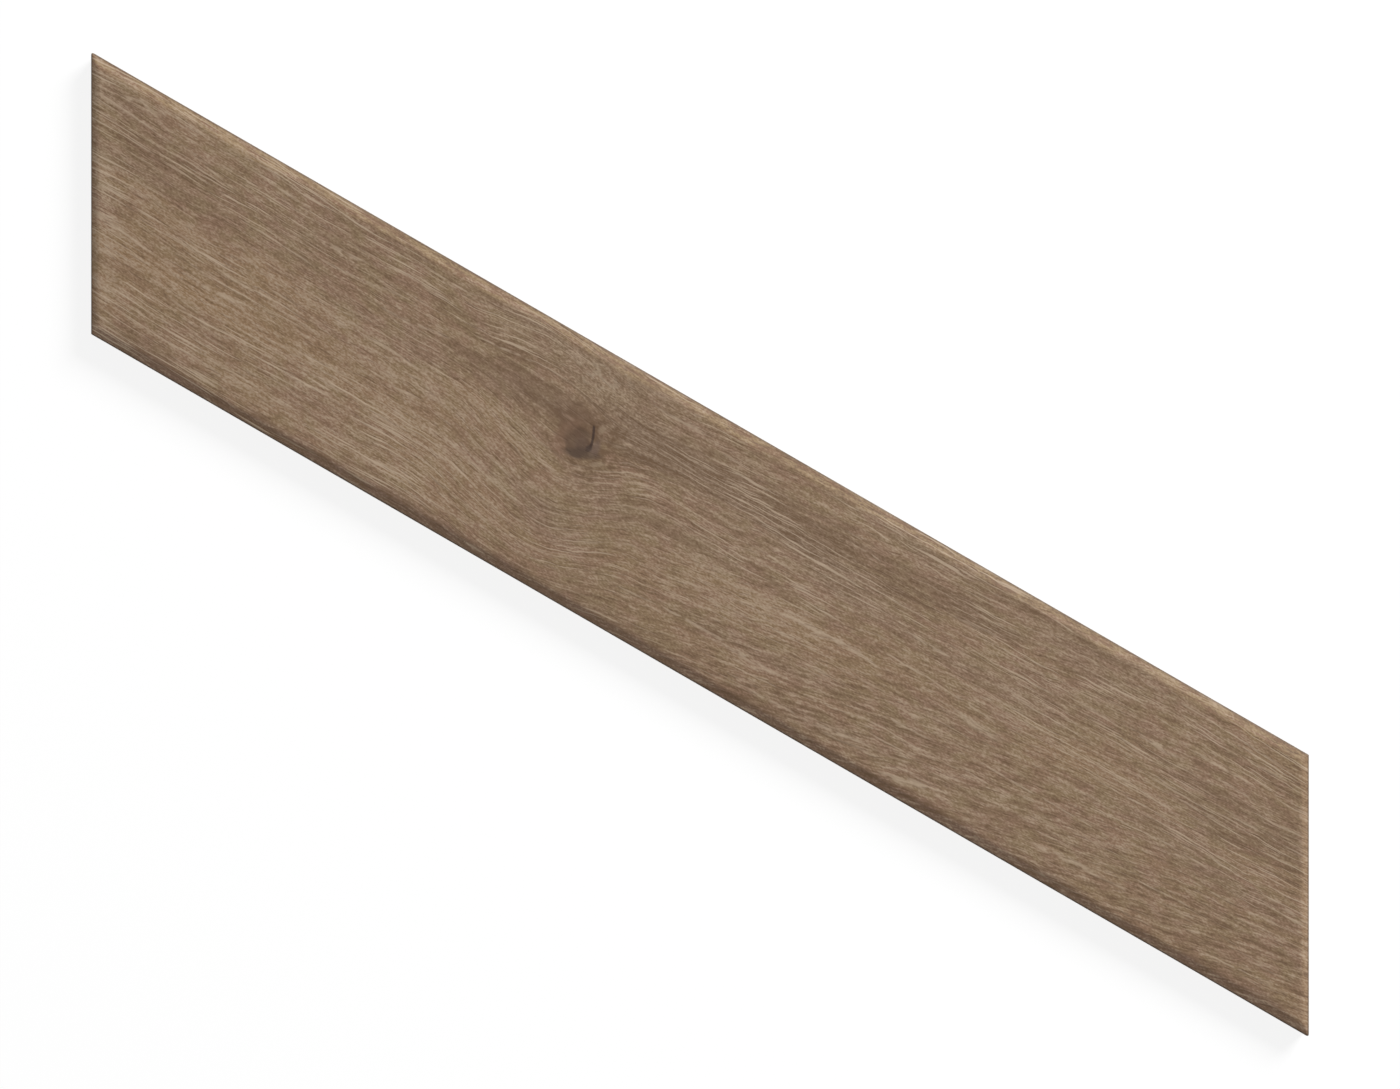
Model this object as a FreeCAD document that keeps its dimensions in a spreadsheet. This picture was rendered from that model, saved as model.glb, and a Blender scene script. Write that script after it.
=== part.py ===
"""Chevron wall tile: one dry-pressed porcelain tile of the right-hand kind, lying face up.

The tile is a long parallelogram. Its long edges run along X, and its short ends are cut at the chevron angle,
so that a tile and its mirror image meet in a V. The face has a pressed bevel all round, the side walls are
upright, the back edge is broken by a small chamfer, and the back is keyed by a grid of shallow recesses that
take the adhesive. The frame's origin is in the middle of the back, and +Z comes out of the face.

The body starts as a block with the tile's outline seen from above. It is cut to what it shares with the
section across the tile, drawn out along X, and with the section between the ends, drawn out along the ends.
The bevels then meet in mitres at the corners.
"""
import FreeCAD
import Part
import Sketcher
import os
import sys

# Driving dimensions: name, value in millimetres, degrees or pieces, and what it measures
SIZES = [
    ("long_edge", 460.0, "length of each long edge"),
    ("tile_width", 80.0, "width between the long edges"),
    ("chevron_angle", 60.0, "angle between a long edge and a short end, in degrees"),
    ("thickness", 9.0, "from the ribs of the back to the face"),
    ("side_bevel_width", 3.2, "bevel along the long edges, measured on the face"),
    ("end_bevel_width", 2.3, "bevel along the short ends, measured on the face"),
    ("bevel_drop", 1.1, "depth of the bevel below the face"),
    ("brow_radius", 4.0, "rounding where the face turns into the bevel"),
    ("lip_radius", 0.5, "rounding where the bevel turns into the side wall"),
    ("corner_radius", 0.6, "rounding of the four upright corners"),
    ("back_chamfer", 1.0, "chamfer around the back"),
    ("trim_margin", 5.0, "how far each of the three solids runs past the others"),
    ("key_depth", 0.8, "depth of the recesses in the back"),
    ("key_wall_angle", 30.0, "lean of a recess's walls away from upright, in degrees"),
    ("key_corner_radius", 2.0, "corner radius of a recess at its mouth"),
    ("key_rib", 3.0, "width of the ribs between the recesses"),
    ("key_border", 6.0, "flat margin between the recesses and the side walls"),
    ("key_count_along", 16, "recesses in each row along the tile"),
    ("key_count_across", 4, "rows of recesses across the tile"),
]

# Sizes that follow from the driving ones, as expressions
ANGLE = "(Sizes.chevron_angle * 1 deg)"
HALF_WIDTH = "Sizes.tile_width / 2"
HALF_NEAR_DIAGONAL = f"(Sizes.long_edge - Sizes.tile_width / tan({ANGLE})) / 2"
HALF_SPAN = f"Sizes.long_edge * sin({ANGLE}) / 2"
END_LENGTH = f"Sizes.tile_width / sin({ANGLE})"
END_OFFSET = f"Sizes.tile_width / tan({ANGLE})"
BLOCK_HEIGHT = "2 * (Sizes.thickness + Sizes.trim_margin)"
ACROSS_BAR_LENGTH = f"Sizes.long_edge + {END_OFFSET} + 2 * Sizes.trim_margin"
END_BAR_LENGTH = f"Sizes.long_edge * cos({ANGLE}) + {END_LENGTH} + 2 * Sizes.trim_margin"
BORDER_ALONG = f"Sizes.key_border / sin({ANGLE})"
RIB_ALONG = f"Sizes.key_rib / sin({ANGLE})"
KEY_LENGTH = (
    f"((Sizes.long_edge - 2 * {BORDER_ALONG} + {RIB_ALONG}) / Sizes.key_count_along - {RIB_ALONG})"
)
KEY_WIDTH = (
    "((Sizes.tile_width - 2 * Sizes.key_border + Sizes.key_rib) / Sizes.key_count_across - Sizes.key_rib)"
)
FIRST_KEY_Y = f"(Sizes.key_border - {HALF_WIDTH})"
FIRST_KEY_X = f"(-Sizes.long_edge / 2 + {BORDER_ALONG} - {FIRST_KEY_Y} / tan({ANGLE}))"

# Least share of a straight-walled recess that a leaning one must cut
LEAST_KEY_SHARE = 0.7

# Marks a step of a pattern that takes the pattern's own spacing
EVEN_SPACING = -1.0

# Points of sketch geometry: a line's two ends, and the sketch's own origin and upright axis
START, END = range(1, 3)
X_AXIS, Y_AXIS = range(-1, -3, -1)
ORIGIN = (X_AXIS, START)


def make_sheet(doc):
    """The spreadsheet of driving dimensions: name, value and meaning in each row."""
    sheet = doc.addObject("Spreadsheet::Sheet", "Sizes")
    for row, (name, value, meaning) in enumerate(SIZES, start=1):
        sheet.set(f"A{row}", name)
        sheet.set(f"B{row}", str(value))
        sheet.set(f"C{row}", meaning)
        sheet.setAlias(f"B{row}", name)
    doc.recompute()


def number(feature, expression):
    """What an expression of the sheet's sizes comes to, as a plain number."""
    value = feature.evalExpression(expression)
    return float(getattr(value, "Value", value))


def new_sketch(body, name, role):
    """An empty sketch on one of the body's own origin planes, such as XY_Plane."""
    plane = next(item for item in body.Origin.OriginFeatures if item.Role == role)
    sketch = body.newObject("Sketcher::SketchObject", name)
    sketch.AttachmentSupport = [(plane, "")]
    sketch.MapMode = "FlatFace"
    return sketch


def draw_outline(sketch, corners):
    """A closed polygon, whose line k runs from corner k to the next one."""
    count = len(corners)
    for k in range(count):
        start = FreeCAD.Vector(*corners[k], 0)
        end = FreeCAD.Vector(*corners[(k + 1) % count], 0)
        sketch.addGeometry(Part.LineSegment(start, end), False)
    for k in range(count):
        sketch.addConstraint(Sketcher.Constraint("Coincident", k, END, (k + 1) % count, START))


def dimension(sketch, name, kind, start, end, expression):
    """A DistanceX or DistanceY between two points of the sketch, bound to an expression."""
    gap = sketch.getPoint(*end) - sketch.getPoint(*start)
    value = gap.x if kind == "DistanceX" else gap.y
    index = sketch.addConstraint(Sketcher.Constraint(kind, *start, *end, value))
    sketch.renameConstraint(index, name)
    sketch.setExpression(f"Constraints.{name}", expression)


def round_corner(sketch, corner, radius):
    """Rounds one corner of an outline with a tangent arc whose radius is a size of the sheet."""
    arc = sketch.GeometryCount
    value = number(sketch, f"Sizes.{radius}")
    sketch.fillet(*corner, value, True, True)
    index = sketch.addConstraint(Sketcher.Constraint("Radius", arc, value))
    name = f"{radius}_{corner[0]}"
    sketch.renameConstraint(index, name)
    sketch.setExpression(f"Constraints.{name}", f"Sizes.{radius}")


def section_sketch(body, name, role, half_reach, bevel_width):
    """The tile's section between two opposite walls: back, chamfers, walls, bevels and face."""
    sketch = new_sketch(body, name, role)
    half = number(sketch, half_reach)
    bevel = number(sketch, bevel_width)
    top = number(sketch, "Sizes.thickness")
    lip_height = top - number(sketch, "Sizes.bevel_drop")
    chamfer = number(sketch, "Sizes.back_chamfer")
    right_side = [(half - chamfer, 0), (half, chamfer), (half, lip_height), (half - bevel, top)]
    left_side = [(-x, y) for x, y in reversed(right_side)]
    draw_outline(sketch, right_side + left_side)

    right_corners = [(corner, START) for corner in range(4)]
    left_corners = [(corner, START) for corner in reversed(range(4, 8))]
    for left, right in zip(left_corners, right_corners):
        sketch.addConstraint(Sketcher.Constraint("Symmetric", *left, *right, Y_AXIS))
    back, wall_foot, lip, brow = right_corners
    sketch.addConstraint(Sketcher.Constraint("PointOnObject", *back, X_AXIS))
    sketch.addConstraint(Sketcher.Constraint("Vertical", *wall_foot, *lip))
    dimension(sketch, "half_reach", "DistanceX", ORIGIN, wall_foot, half_reach)
    dimension(sketch, "chamfer_width", "DistanceX", back, wall_foot, "Sizes.back_chamfer")
    dimension(sketch, "chamfer_height", "DistanceY", back, wall_foot, "Sizes.back_chamfer")
    dimension(sketch, "bevel_width", "DistanceX", brow, lip, bevel_width)
    dimension(sketch, "bevel_drop", "DistanceY", lip, brow, "Sizes.bevel_drop")
    dimension(sketch, "thickness", "DistanceY", back, brow, "Sizes.thickness")
    for side in (right_corners, left_corners):
        round_corner(sketch, side[2], "lip_radius")
        round_corner(sketch, side[3], "brow_radius")
    return sketch


def parallelogram(sketch, near_corner, length, width):
    """A parallelogram with two level edges and the tile's lean, dimensioned by three expressions."""
    lean = f"{width} / tan({ANGLE})"
    x, y = near_corner
    far_y = y + number(sketch, width)
    far_x = x - number(sketch, lean)
    reach = number(sketch, length)
    draw_outline(sketch, [(x, y), (x + reach, y), (far_x + reach, far_y), (far_x, far_y)])
    sketch.addConstraint(Sketcher.Constraint("Horizontal", 0))
    sketch.addConstraint(Sketcher.Constraint("Horizontal", 2))
    sketch.addConstraint(Sketcher.Constraint("Parallel", 1, 3))
    dimension(sketch, "length", "DistanceX", (0, START), (1, START), length)
    dimension(sketch, "width", "DistanceY", (1, START), (2, START), width)
    dimension(sketch, "lean", "DistanceX", (2, START), (1, START), lean)


def draw_out(body, name, sketch, length):
    """Pads a section by the same amount to both sides of its plane."""
    pad = body.newObject("PartDesign::Pad", name)
    pad.Profile = sketch
    pad.Midplane = True
    pad.setExpression("Length", length)
    return pad


def outline_block(body):
    """A block with the tile's outline seen from above, its upright corners rounded."""
    sketch = new_sketch(body, "Outline", "XY_Plane")
    near_corner = (-number(sketch, HALF_NEAR_DIAGONAL), -number(sketch, HALF_WIDTH))
    parallelogram(sketch, near_corner, "Sizes.long_edge", "Sizes.tile_width")
    sketch.addConstraint(Sketcher.Constraint("Symmetric", 0, START, 2, START, *ORIGIN))
    for corner in range(4):
        round_corner(sketch, (corner, START), "corner_radius")
    return draw_out(body, "OutlineBlock", sketch, BLOCK_HEIGHT)


def cross_section(body):
    """The section across the tile, drawn out along the long edges."""
    sketch = section_sketch(body, "AcrossSection", "YZ_Plane", HALF_WIDTH, "Sizes.side_bevel_width")
    return draw_out(body, "AcrossBar", sketch, ACROSS_BAR_LENGTH)


def end_section(body):
    """The section between the short ends, drawn out along those ends."""
    sketch = section_sketch(body, "EndSection", "XZ_Plane", HALF_SPAN, "Sizes.end_bevel_width")
    sketch.AttachmentOffset = FreeCAD.Placement(
        FreeCAD.Vector(0, 0, 0), FreeCAD.Rotation(FreeCAD.Vector(0, 1, 0), 1)
    )
    sketch.setExpression("AttachmentOffset.Rotation.Angle", f"90 deg - {ANGLE}")
    return draw_out(body, "EndBar", sketch, END_BAR_LENGTH)


def keep_shared(body, name, other_body):
    """Cuts the body to what it has in common with another one."""
    common = body.newObject("PartDesign::Boolean", name)
    common.Type = "Common"
    common.setObjects([other_body])
    return common


def key_sketch(body):
    """The mouth of the first recess: a parallelogram like the tile's own, with rounded corners."""
    sketch = new_sketch(body, "KeyMouth", "XY_Plane")
    sketch.setExpression("AttachmentOffset.Base.x", FIRST_KEY_X)
    sketch.setExpression("AttachmentOffset.Base.y", FIRST_KEY_Y)
    parallelogram(sketch, (0, 0), KEY_LENGTH, KEY_WIDTH)
    sketch.addConstraint(Sketcher.Constraint("Coincident", 0, START, *ORIGIN))
    slant_end = FreeCAD.Vector(*sketch.getPoint(3, START))
    slant_axis = sketch.addGeometry(Part.LineSegment(FreeCAD.Vector(0, 0, 0), slant_end), True)
    sketch.addConstraint(Sketcher.Constraint("Coincident", slant_axis, START, *ORIGIN))
    sketch.addConstraint(Sketcher.Constraint("PointOnObject", slant_axis, END, 2))
    sketch.addConstraint(Sketcher.Constraint("Parallel", slant_axis, 1))
    for corner in range(4):
        round_corner(sketch, (corner, START), "key_corner_radius")
    return sketch


def key_recesses(body):
    """The grid of shallow recesses in the back, which open towards -Z."""
    sketch = key_sketch(body)
    pocket = body.newObject("PartDesign::Pocket", "KeyRecess")
    pocket.Profile = sketch
    pocket.Reversed = True
    pocket.setExpression("Length", "Sizes.key_depth")
    pocket.setExpression("TaperAngle", "-Sizes.key_wall_angle * 1 deg")
    body.Document.recompute()

    grid = body.newObject("PartDesign::LinearPattern", "KeyGrid")
    grid.Originals = [pocket]
    grid.Direction = (sketch, ["H_Axis"])
    grid.Direction2 = (sketch, ["Axis0"])
    grid.Mode = "Spacing"
    grid.Mode2 = "Spacing"
    grid.Spacings = [EVEN_SPACING]
    grid.Spacings2 = [EVEN_SPACING]
    grid.setExpression("Offset", f"{KEY_LENGTH} + {RIB_ALONG}")
    grid.setExpression("Occurrences", "Sizes.key_count_along")
    grid.setExpression("Offset2", f"({KEY_WIDTH} + Sizes.key_rib) / sin({ANGLE})")
    grid.setExpression("Occurrences2", "Sizes.key_count_across")
    body.Tip = grid
    return grid


def make_tile(doc):
    """The whole tile as one body."""
    tile = doc.addObject("PartDesign::Body", "Tile")
    tile.Label = "chevron_tile"
    across = doc.addObject("PartDesign::Body", "Across")
    ends = doc.addObject("PartDesign::Body", "Ends")
    outline_block(tile)
    cross_section(across)
    end_section(ends)
    doc.recompute()
    keep_shared(tile, "AcrossShared", across)
    doc.recompute()
    keep_shared(tile, "PressedTile", ends)
    doc.recompute()
    key_recesses(tile)
    doc.recompute()
    return tile


def check(doc, tile):
    """Stops the script if a feature failed, or if the tile isn't one sound solid."""
    for item in doc.Objects:
        if {"Invalid", "Error"} & set(item.State):
            sys.exit(f"{item.Name} failed: {item.State}")
    shape = tile.Shape
    if shape.isNull() or not shape.isValid() or len(shape.Solids) != 1:
        sys.exit("the tile isn't one valid solid")
    keyed = doc.getObject("PressedTile").Shape.Volume - shape.Volume
    one_key = number(tile, f"{KEY_LENGTH} * {KEY_WIDTH} * Sizes.key_depth")
    keys = number(tile, "Sizes.key_count_along * Sizes.key_count_across")
    straight = one_key * keys
    print(f"tile {shape.Volume:.0f} mm3, recesses {keyed:.0f} mm3, with straight walls {straight:.0f} mm3")
    if not LEAST_KEY_SHARE * straight < keyed < straight:
        sys.exit("the recesses in the back didn't cut as they should")


def main():
    doc = FreeCAD.newDocument("ChevronWallTile")
    make_sheet(doc)
    tile = make_tile(doc)
    check(doc, tile)
    os.makedirs("parts", exist_ok=True)
    tile.Shape.exportStep(f"parts/{tile.Label}.step")


main()
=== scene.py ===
"""The look of the chevron wall tile: a pressed porcelain tile with an oak grain printed on its matt face.

The CAD tile stays as the frame. One closed mesh stands for it: a dense face with the pressed bevel and a
shallow grain relief, joined to the CAD mesh's own lower walls and keyed back. The grain is made of noise that
follows lines bent round a knot. The same nodes give the relief in Geometry Nodes and the colour in the
material, so the two agree everywhere. Lengths in the mesh functions and in the grain are in millimetres.
"""
import math
from collections import namedtuple

import bmesh
import bpy
import numpy as np
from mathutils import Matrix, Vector

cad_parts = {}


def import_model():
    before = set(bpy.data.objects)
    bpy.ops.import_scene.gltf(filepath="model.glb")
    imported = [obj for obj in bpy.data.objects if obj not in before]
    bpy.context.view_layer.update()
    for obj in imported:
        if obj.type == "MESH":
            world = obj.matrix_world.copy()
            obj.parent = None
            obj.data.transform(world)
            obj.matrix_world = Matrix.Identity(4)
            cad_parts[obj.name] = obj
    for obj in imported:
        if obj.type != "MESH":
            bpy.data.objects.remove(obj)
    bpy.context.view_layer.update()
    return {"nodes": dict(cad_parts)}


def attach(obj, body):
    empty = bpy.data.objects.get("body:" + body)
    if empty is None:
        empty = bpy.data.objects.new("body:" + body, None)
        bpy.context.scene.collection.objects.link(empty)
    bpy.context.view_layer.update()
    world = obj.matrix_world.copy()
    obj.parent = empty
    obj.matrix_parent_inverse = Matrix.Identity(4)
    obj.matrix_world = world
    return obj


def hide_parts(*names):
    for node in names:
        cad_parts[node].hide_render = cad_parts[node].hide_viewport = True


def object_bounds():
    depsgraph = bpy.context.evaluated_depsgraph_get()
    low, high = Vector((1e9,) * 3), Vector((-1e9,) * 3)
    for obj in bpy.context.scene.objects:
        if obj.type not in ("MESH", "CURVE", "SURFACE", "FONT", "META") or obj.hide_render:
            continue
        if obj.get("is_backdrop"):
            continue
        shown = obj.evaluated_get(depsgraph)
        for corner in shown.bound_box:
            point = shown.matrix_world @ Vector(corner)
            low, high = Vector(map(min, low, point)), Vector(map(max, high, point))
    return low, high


MM = 0.001

# Sizes of the CAD tile, in millimetres and radians
LONG_EDGE = 460.0
TILE_WIDTH = 80.0
CHEVRON_ANGLE = math.radians(60.0)
THICKNESS = 9.0
SIDE_BEVEL_WIDTH = 3.2
END_BEVEL_WIDTH = 2.3
BEVEL_DROP = 1.1
BROW_RADIUS = 4.0
LIP_RADIUS = 0.5
CORNER_RADIUS = 0.6
LEAN = 1.0 / math.tan(CHEVRON_ANGLE)

# The mesh of the face: distances of the first lines from an edge, then an even step
EDGE_LINES_ACROSS = (0.0, 0.03, 0.1, 0.2, 0.34, 0.6, 0.95)
EDGE_LINES_ALONG = (0.0, 0.04, 0.12, 0.23, 0.38, 0.7, 1.2, 1.8, 2.4, 3.0, 3.7, 4.6)
STEP_ACROSS = 0.35
STEP_ALONG = 1.3
SHARP_ANGLE = math.radians(35.0)

# The CAD mesh is cut at this height, and its lower part is joined to the rim of the face
WALL_JOIN_HEIGHT = 4.5
MERGE_DISTANCE = 0.002
CUT_TOLERANCE = 0.0005
SMALLEST_REACH = 1e-9

# In what follows, a pair of numbers says where something begins and is whole. Two more after them are its
# values at those places, which are 0 and 1 otherwise

# A noise: the length and the width of its cells, a seed, and its octaves of finer detail
Grain = namedtuple("Grain", "length width seed detail", defaults=(0.0,))
# A noise that moves something to and fro, and how far in all
Wave = namedtuple("Wave", "grain size")
# A noise cut to flecks: the values at which a fleck begins and is whole
Cut = namedtuple("Cut", "grain low high")
# An oval: its middle, half its length and width, how steeply it rises to the right, and how far out it begins
# and is whole, where 1 is its edge
Oval = namedtuple("Oval", "x y half_length half_width slope outer inner", defaults=(0.0, 1.2, 0.4))

# The knot, in the tile's own coordinates. What belongs to it is placed from its middle
KNOT_X = -50.5
KNOT_Y = 9.6

# The long lines of the grain fall to the knot, climb beyond it and arch over it, as measured from its middle
KNOT_FALL = 6.5
KNOT_CLIMB = 9.5
FALL_RUN = (-48.0, -1.0)
CLIMB_RUN = (0.0, 35.0)
BEND_TOP = (15.0, -8.0)
BEND_BOTTOM = (-70.0, -25.0)
ARCH_HEIGHT = 4.0
ARCH_LEVEL = 6.4
ARCH_LEFT = (-44.0, -7.0)
ARCH_RIGHT = (24.0, -6.0)
ARCH_BOTTOM = (4.0, 19.0)
ARCH_TOP = (36.0, 19.0)

# In the right part of the tile the lines rise to the right, most of all along the near edge, and the short
# strokes rise more steeply. At the pivot, so far into that part, the rise leaves a line where it was
RIGHT_PART_START = -15.0
RIGHT_PART_BLEND = 30.0
RISE_PIVOT = 80.0
NEAR_RISE = 0.07
NEAR_RISE_RUN = (14.0, -34.0)
STROKE_RISE = 0.135

# How the lines waver. The finest waver is weaker at the left
DRIFT = Wave(Grain(95.0, 34.0, 3.1, 1.0), 6.0)
RIPPLE = Wave(Grain(24.0, 7.0, 7.7, 1.0), 1.7)
SHIVER = Wave(Grain(6.0, 2.0, 9.3), 0.7)
SHIVER_RUN = (-130.0, -60.0, 0.4, 1.0)

# Noise along the long lines, along the short strokes and along the tile
LINE_GRAINS = {
    "zones": Grain(150.0, 7.0, 5.0),
    "bars": Grain(60.0, 1.6, 11.0),
    "hairs": Grain(30.0, 0.9, 17.0),
}
STROKE_GRAINS = {
    "dashes": Grain(22.0, 1.4, 23.0),
    "strokes": Grain(7.0, 0.6, 31.0, 1.0),
    "flecks": Grain(5.0, 1.4, 37.0),
    "patches": Grain(8.0, 4.6, 89.0, 1.0),
}
LEVEL_GRAINS = {
    "grit": Grain(1.0, 0.5, 41.0),
    "clouds": Grain(42.0, 13.0, 83.0, 2.0),
    "mottle": Grain(3.0, 2.0, 97.0, 2.0),
}
PORES = Cut(Grain(6.0, 0.45, 71.0), 0.64, 0.76)
CHIPS = Cut(Grain(3.2, 1.9, 109.0, 2.0), 0.5, 0.66)

# The feather: slanting strokes towards the near edge of the right part
FEATHER = Grain(10.0, 1.0, 43.0, 1.0)
FEATHER_RISE = math.radians(15.0)
FEATHER_START = (-25.0, 40.0)
FEATHER_TO_NEAR = (2.0, -24.0)

# Cream streaks, fainter in the feather, and thin broken threads, one to each band of the grain
CREAM = Cut(Grain(20.0, 0.5, 67.0), 0.61, 0.73)
CREAM_PLACE = Cut(Grain(60.0, 12.0, 61.0), 0.38, 0.58)
CREAM_LOSS = 0.7
THREAD_BAND = 4.6
THREAD_SIDE = (0.12, 0.03)
THREAD_DRIFT = Wave(Grain(130.0, 13.0, 53.0, 1.0), 3.6)
THREAD_RUNS = Cut(Grain(26.0, 2.6, 59.0), 0.5, 0.64)
THREAD_BREAKS = Cut(Grain(5.0, 1.6, 60.0, 1.0), 0.36, 0.56)

# The knot's disc, the brown heart on it, whose edge is softer at the left and trimmed at the lower left, and
# the reddish left side of the disc
KNOT_WOBBLE = Wave(Grain(3.0, 3.0, 101.0, 1.0), 0.5)
KNOT_DISC = Oval(-0.9, -0.8, 5.0, 5.0, outer=1.1, inner=0.86)
HEART_OUTER = 1.12
HEART_INNER = 0.84
SOFTER_OUTSIDE = 0.3
SOFTER_INSIDE = 0.25
HEART_TRIM = 0.25
LEFT_SIDE = (-1.0, -5.0)
LEFT_SIDE_BOTTOM = (-4.0, 0.0)
LOWER_LEFT = (-4.0, -8.5)
RED_SIDE = (-1.0, -4.5)
RED_SIDE_EDGE = (1.75, 1.2)

# The spots on the knot, and the wider areas round it, whose edges wobble more
KNOT_SPOTS = {
    "core": Oval(0.6, -0.8, 3.2, 3.2),
    "lobe": Oval(6.2, -2.1, 2.8, 1.2, 0.5),
    "shade": Oval(1.6, -3.3, 5.8, 2.4, 0.4),
    "crack_foot": Oval(3.3, -0.6, 1.3, 1.5),
    "crescent": Oval(4.9, 0.5, 1.9, 3.2),
    "upper_pale_spot": Oval(4.1, 6.9, 1.4, 1.7),
    "lower_pale_spot": Oval(8.3, -3.8, 2.2, 1.1, 0.5),
    "pale_dash": Oval(-7.6, 4.9, 2.6, 0.7),
}
KNOT_AREAS = {
    "fan": Oval(14.0, -5.0, 14.0, 8.0, outer=1.2, inner=0.5),
    "stain": Oval(-21.0, 6.5, 24.0, 7.0, outer=1.2, inner=0.2),
    "halo": Oval(-4.0, 5.5, 12.0, 7.5, outer=1.1, inner=0.3),
    "burr": Oval(-5.0, 20.0, 19.0, 9.0, outer=1.15, inner=0.5),
    "chips": Oval(-4.0, 21.5, 12.0, 7.0, outer=1.1, inner=0.4),
    "collar": Oval(1.0, 1.0, 15.0, 13.0, outer=1.15, inner=0.5),
}
AREA_WOBBLE = 2.0
SHADE_BOTTOM = (-7.5, -5.0)

# The knot's crack: its middle, the lean of its upper part, and where its ends and its sides fade
CRACK_X = 3.5
CRACK_Y = 1.5
CRACK_LEAN = 0.45
CRACK_BEND = 1.5
CRACK_WOBBLE = 0.7
CRACK_TOP = (5.7, 4.6)
CRACK_BOTTOM = (-2.6, -0.6)
CRACK_SIDE = (0.68, 0.22)

# Depths of the relief, and where it fades out towards an edge
GRAIN_DEPTH = 0.05
DISH_DEPTH = 0.10
CRACK_DEPTH = 0.22
RELIEF_FADE = (0.5, 2.2)
RELIEF_BLEND = 0.6
RELIEF_BOTTOM = (THICKNESS - BEVEL_DROP - RELIEF_BLEND, THICKNESS - BEVEL_DROP)

# Strength of each noise in the print, in colour levels from its darkest to its lightest
STREAK_LEVELS = {"bars": 23.5, "hairs": 3.0, "dashes": 19.0, "strokes": 53.0, "flecks": 18.0}
SPECKLE_LEVELS = {"grit": 52.0, "mottle": 30.0}
FEATHER_LEVEL = 68.0
BURR_LEVEL = 58.0
BURR_GRIT_LEVEL = 45.0
# Round the knot the streaks are weaker, and in the fan to its right they are stronger. Both places are darker
CALM_ROUND_KNOT = 0.7
FAN_GAIN = 0.6
COLLAR_LEVEL = -13.0
FAN_LEVEL = -4.0
# This many levels turn the ground into the pale or the dark streak colour
FULL_STREAK = 30.0
# Strength of the cream streaks, threads and pores, and how much cream is lost in an oval and on the collar
CREAM_SHARE = 0.75
THREAD_SHARE = 0.55
PORE_SHARE = 0.35
LESS_CREAM = Oval(0.0, -8.0, 58.0, 30.0, outer=1.0, inner=0.6)
LESS_CREAM_SHARE = 0.45
COLLAR_CREAM_LOSS = 0.8

# Broad tones of the print: an oval, how many colour levels lighter it is, and how steeply it rises
Patch = namedtuple("Patch", "x y half_length half_width level slope", defaults=(0.0,))
TONE_PATCHES = {
    "left_stain": Patch(-79.0, 18.0, 24.0, 8.0, -9.0),
    "dark_band": Patch(22.0, 21.5, 90.0, 7.5, -12.5, 0.06),
    "pale_left": Patch(-140.0, -10.0, 95.0, 24.0, 8.0, -0.05),
    "pale_line": Patch(28.0, -8.5, 58.0, 4.0, 5.0),
    "dark_fan": Patch(-28.0, 2.0, 26.0, 12.0, -5.0, 0.1),
    "pale_right": Patch(146.0, -6.0, 28.0, 9.0, 6.0),
    "near_left": Patch(-192.0, -31.0, 32.0, 8.0, -5.0),
    "right_end": Patch(205.0, -10.0, 26.0, 14.0, -4.0),
    "near_right": Patch(130.0, -26.0, 110.0, 13.0, -3.0),
    "far_middle": Patch(50.0, 16.0, 40.0, 8.0, -4.0),
    "far_right": Patch(100.0, 30.0, 30.0, 9.0, -4.0),
    "left_line": Patch(-150.0, 5.0, 80.0, 8.0, 3.0),
    "by_knot": Patch(-40.0, 18.0, 22.0, 7.0, -7.0),
    "red_spot": Patch(-50.0, -18.0, 12.0, 6.0, -7.0),
    "dark_end": Patch(196.0, 8.0, 26.0, 9.0, -6.0, -0.2),
}
# How much the noises fray the edge of a patch, and how far out it begins and is whole
PATCH_FRAY = {"dashes": 1.2, "clouds": 1.6}
PATCH_EDGE = (1.3, 0.3)
# The long zones of the grain, and the far side, which is darker beyond a wavering line
ZONE_LEVEL = 16.0
FAR_SIDE_LEVEL = -2.0
FAR_SIDE_RUN = (2.0, 17.0)
FAR_SIDE_WAVER = 26.0

# What turns the ground from khaki to mauve, and what warms or cools it. It is warmer at the right and along
# the near edge, there most of all at the left
TINT_LEVELS = {"patches": 2.2, "flecks": 0.3, "clouds": 0.35}
TINT_RUN = (-0.5, 0.5)
WARMTH = Wave(Grain(60.0, 16.0, 79.0, 1.0), 1.6)
WARMTH_OF_TONE = 0.05
WARMTH_OFFSET = -0.06
WARMER_RIGHT = (20.0, 180.0, -0.05, 0.07)
WARMER_NEAR = (15.0, -30.0)
WARMER_NEAR_LEFT = (-100.0, -190.0, 0.2, 0.45)

# The tints of the edges, which are painted highlight on the far bevel and at the right end and painted shade
# on the near bevel and the lip, with the print's rust on the far one: how they waver, where they begin and
# are whole, and their strengths
EDGE_WAVER = Wave(Grain(20.0, 60.0, 131.0, 2.0), 6.0)
RUST = Cut(Grain(9.0, 1.6, 137.0, 2.0), 0.46, 0.62)
FAR_HIGHLIGHT_BAND = (4.6, 2.4)
NEAR_SHADE_BAND = (5.1, 2.2)
END_HIGHLIGHT_BAND = (3.0, 1.9)
LIP_SHADE_BAND = (0.75, 0.2, 0.0, 0.7)
LIT_EDGE_SHARE = 0.8
NEAR_SHADE_SHARE = 0.65
# Rims inside the edges that are lighter or darker, painted light at the left end and painted shade at the
# right
# end and along the near edge: where one begins, where it ends, and its level
LEFT_RIM_PAINTED_LIGHT = ((0.4, 1.8), (12.0, 3.0), 9.0)
RIGHT_RIM_PAINTED_SHADE = ((2.6, 3.6), (15.0, 6.0), -5.0)
NEAR_RIM_SHADE_END = (12.0, 4.0)
NEAR_RIM_SHADE_LEVEL = -4.0

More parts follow.
